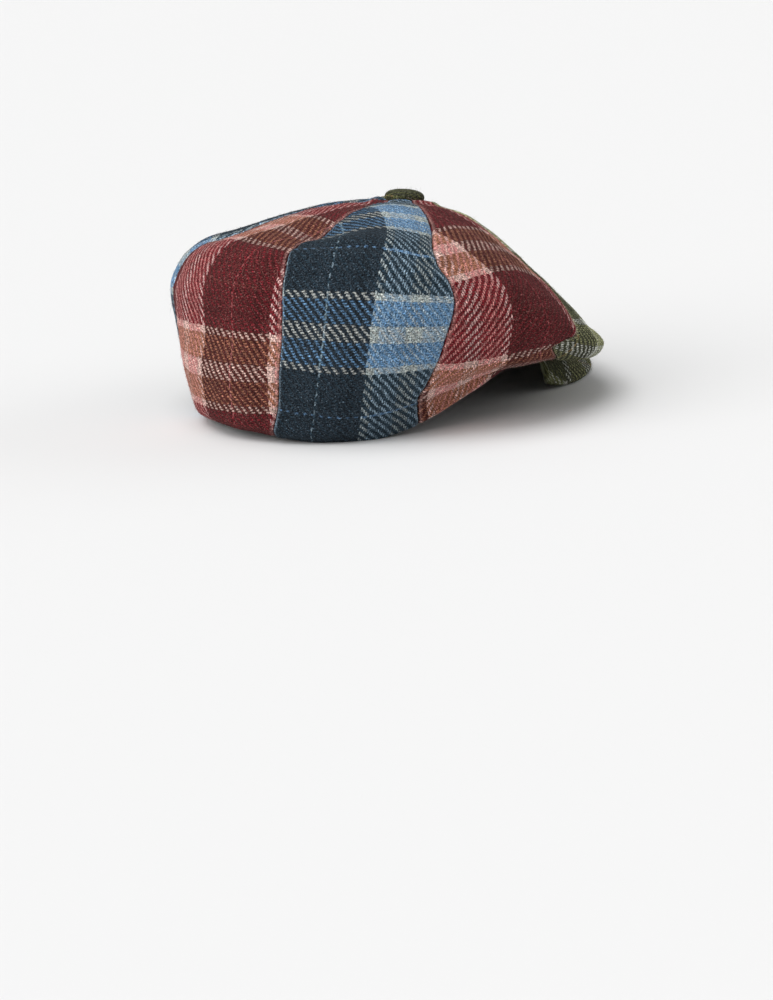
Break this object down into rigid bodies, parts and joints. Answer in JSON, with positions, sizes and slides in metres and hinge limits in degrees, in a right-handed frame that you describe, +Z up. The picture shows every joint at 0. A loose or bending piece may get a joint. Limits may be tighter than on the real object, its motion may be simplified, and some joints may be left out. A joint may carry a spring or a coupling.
{
  "type": "newsboy cap",
  "caption": "Soft panelled cap with a full crown, a short stiff peak and a covered button, in patchwork plaid wool twill",
  "frame": {"origin": "on the floor, under the middle of the cap's bounding box, with the cap resting on its hem and peak", "axes": "+Z up; the peak points along -Y; +X is the wearer's left"},
  "size_m": [0.2524, 0.2546, 0.1197],
  "materials": {
    "crown_panel_front": "navy plaid brushed wool twill",
    "crown_panel_front_right": "olive plaid brushed wool twill",
    "crown_panel_right_side": "wine plaid brushed wool twill",
    "crown_panel_right_rear": "navy plaid brushed wool twill",
    "crown_panel_back": "wine plaid brushed wool twill",
    "crown_panel_left_rear": "navy plaid brushed wool twill",
    "crown_panel_left_side": "olive plaid brushed wool twill",
    "crown_panel_left_front": "wine plaid brushed wool twill",
    "peak": "olive plaid brushed wool twill over a stiff core",
    "button": "olive plaid brushed wool twill drawn over a button"
  },
  "bodies": {
    "root": {"crown_panel_front": "crown_panel_front", "crown_panel_front_right": "crown_panel_front_right", "crown_panel_right_side": "crown_panel_right_side", "crown_panel_right_rear": "crown_panel_right_rear", "crown_panel_back": "crown_panel_back", "crown_panel_left_rear": "crown_panel_left_rear", "crown_panel_left_side": "crown_panel_left_side", "crown_panel_left_front": "crown_panel_left_front", "peak": "peak", "button": "button"}
  },
  "joints": []
}
